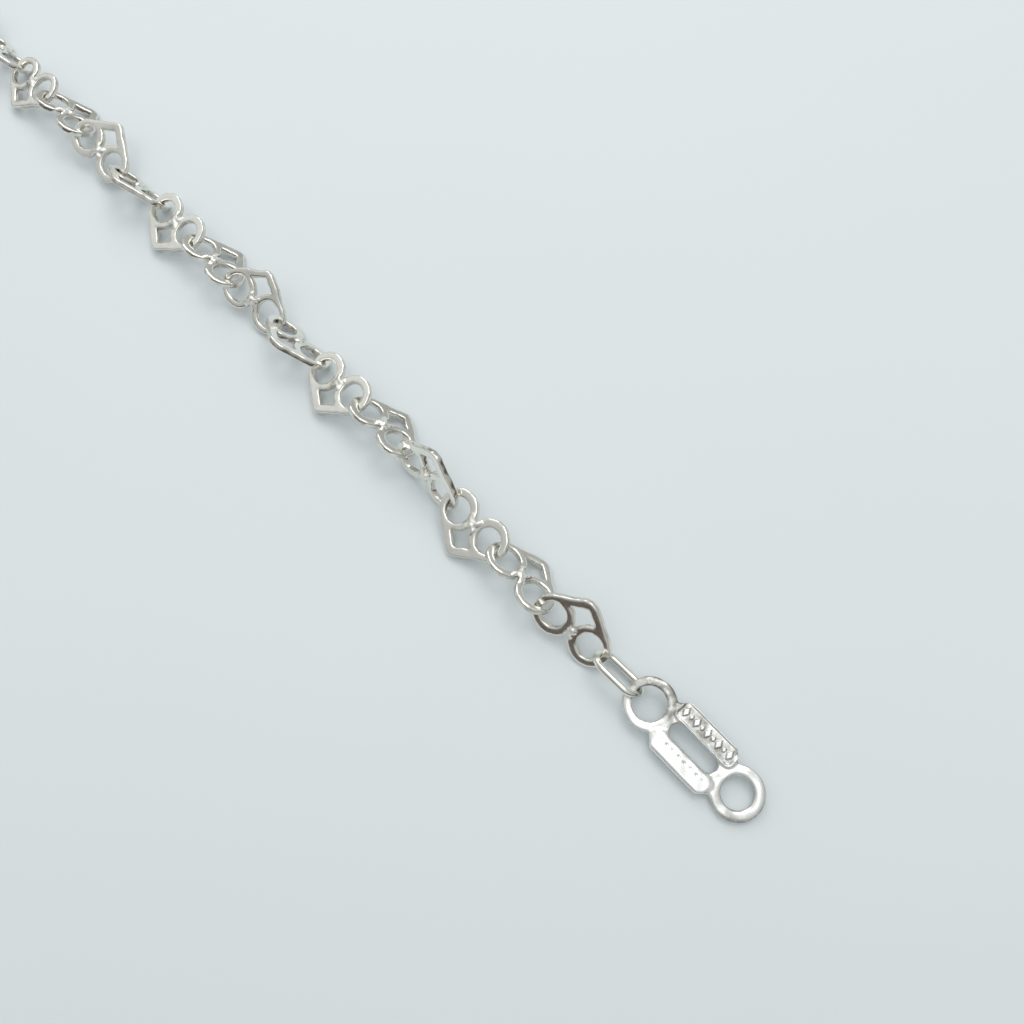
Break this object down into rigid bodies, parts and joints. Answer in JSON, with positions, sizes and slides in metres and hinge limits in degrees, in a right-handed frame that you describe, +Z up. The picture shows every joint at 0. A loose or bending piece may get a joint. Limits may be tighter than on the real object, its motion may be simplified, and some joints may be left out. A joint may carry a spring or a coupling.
{
  "type": "heart-link bracelet",
  "caption": "Fine chain bracelet of flat interlocking heart-shaped links with a slotted end tag and a plain one-piece clasp, lying open.",
  "frame": {"origin": "middle of the bracelet's outline on the surface it lies on", "axes": "+Z up from the surface; the straight stretch with the tag runs between -X+Y and +X-Y, and the pictured side faces -Y"},
  "size_m": [0.0614, 0.0758, 0.0031],
  "materials": {
    "link_silver": "polished sterling silver with fine wear and a trace of tarnish in the corners",
    "tag_silver": "bright stamped sterling silver with a soft edge",
    "clasp_silver": "polished sterling silver"
  },
  "bodies": {
    "root": {"tag": "tag_silver", "connector_near": "link_silver", "heart_01": "link_silver", "heart_02": "link_silver", "heart_03": "link_silver", "heart_04": "link_silver", "heart_05": "link_silver", "heart_06": "link_silver", "heart_07": "link_silver", "heart_08": "link_silver", "heart_09": "link_silver", "heart_10": "link_silver", "heart_11": "link_silver", "heart_12": "link_silver", "heart_13": "link_silver", "heart_14": "link_silver", "heart_15": "link_silver", "heart_16": "link_silver", "heart_17": "link_silver", "heart_18": "link_silver", "heart_19": "link_silver", "heart_20": "link_silver", "heart_21": "link_silver", "heart_22": "link_silver", "heart_23": "link_silver", "heart_24": "link_silver", "heart_25": "link_silver", "heart_26": "link_silver", "heart_27": "link_silver", "heart_28": "link_silver", "heart_29": "link_silver", "heart_30": "link_silver", "heart_31": "link_silver", "heart_32": "link_silver", "heart_33": "link_silver", "heart_34": "link_silver", "heart_35": "link_silver", "heart_36": "link_silver", "heart_37": "link_silver", "heart_38": "link_silver", "heart_39": "link_silver", "heart_40": "link_silver", "connector_far": "link_silver", "clasp": "clasp_silver"}
  },
  "joints": []
}
